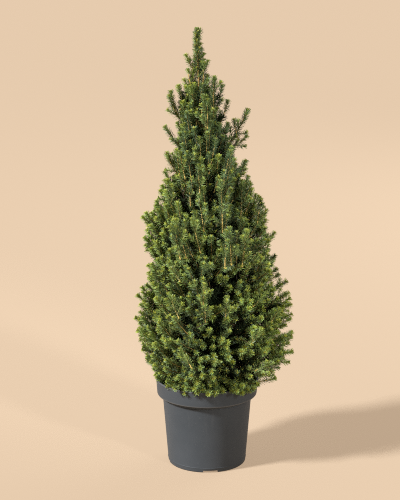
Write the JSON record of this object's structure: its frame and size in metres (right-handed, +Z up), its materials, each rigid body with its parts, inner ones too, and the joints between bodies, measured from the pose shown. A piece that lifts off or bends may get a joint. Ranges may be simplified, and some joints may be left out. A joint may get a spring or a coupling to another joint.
{
  "type": "dwarf alberta spruce in a nursery pot",
  "caption": "Young conical dwarf spruce with dense short needles, growing in a round dark plastic nursery pot that stands on its flat underside.",
  "frame": {"origin": "centre of the pot's flat underside, on the surface it stands on", "axes": "+Z up along the pot's axis towards the leader; -Y is the side that the picture shows; +X is to its right"},
  "size_m": [0.347, 0.3404, 0.985],
  "materials": {
    "pot_plastic": "matte moulded plastic with light scuffs",
    "potting_soil": "moist dark crumbly potting mix",
    "bark": "thin scaly grey-brown bark",
    "needles": "short soft green needles on tan twigs"
  },
  "bodies": {
    "root": {"pot": "pot_plastic", "root_ball": "potting_soil", "trunk": "bark", "bough_broad_1": "bark", "bough_broad_2": "bark", "bough_broad_3": "bark", "bough_broad_4": "bark", "bough_broad_5": "bark", "bough_broad_6": "bark", "bough_low_1": "bark", "bough_low_2": "bark", "bough_low_3": "bark", "bough_low_4": "bark", "bough_low_5": "bark", "bough_low_6": "bark", "bough_low_7": "bark", "foliage_leader": "needles", "foliage_right_spray": "needles", "foliage_left_spray": "needles", "foliage_crest_1": "needles", "foliage_crest_2": "needles", "foliage_crest_3": "needles", "foliage_spire_1": "needles", "foliage_spire_2": "needles", "foliage_spire_3": "needles", "foliage_spire_4": "needles", "foliage_upper_1": "needles", "foliage_upper_2": "needles", "foliage_upper_3": "needles", "foliage_upper_4": "needles", "foliage_waist_1": "needles", "foliage_waist_2": "needles", "foliage_waist_3": "needles", "foliage_waist_4": "needles", "foliage_waist_5": "needles", "foliage_shoulder_1": "needles", "foliage_shoulder_2": "needles", "foliage_shoulder_3": "needles", "foliage_shoulder_4": "needles", "foliage_shoulder_5": "needles", "foliage_shoulder_6": "needles", "foliage_mid_1": "needles", "foliage_mid_2": "needles", "foliage_mid_3": "needles", "foliage_mid_4": "needles", "foliage_mid_5": "needles", "foliage_mid_6": "needles", "foliage_broad_1": "needles", "foliage_broad_2": "needles", "foliage_broad_3": "needles", "foliage_broad_4": "needles", "foliage_broad_5": "needles", "foliage_broad_6": "needles", "foliage_low_1": "needles", "foliage_low_2": "needles", "foliage_low_3": "needles", "foliage_low_4": "needles", "foliage_low_5": "needles", "foliage_low_6": "needles", "foliage_low_7": "needles"}
  },
  "joints": []
}
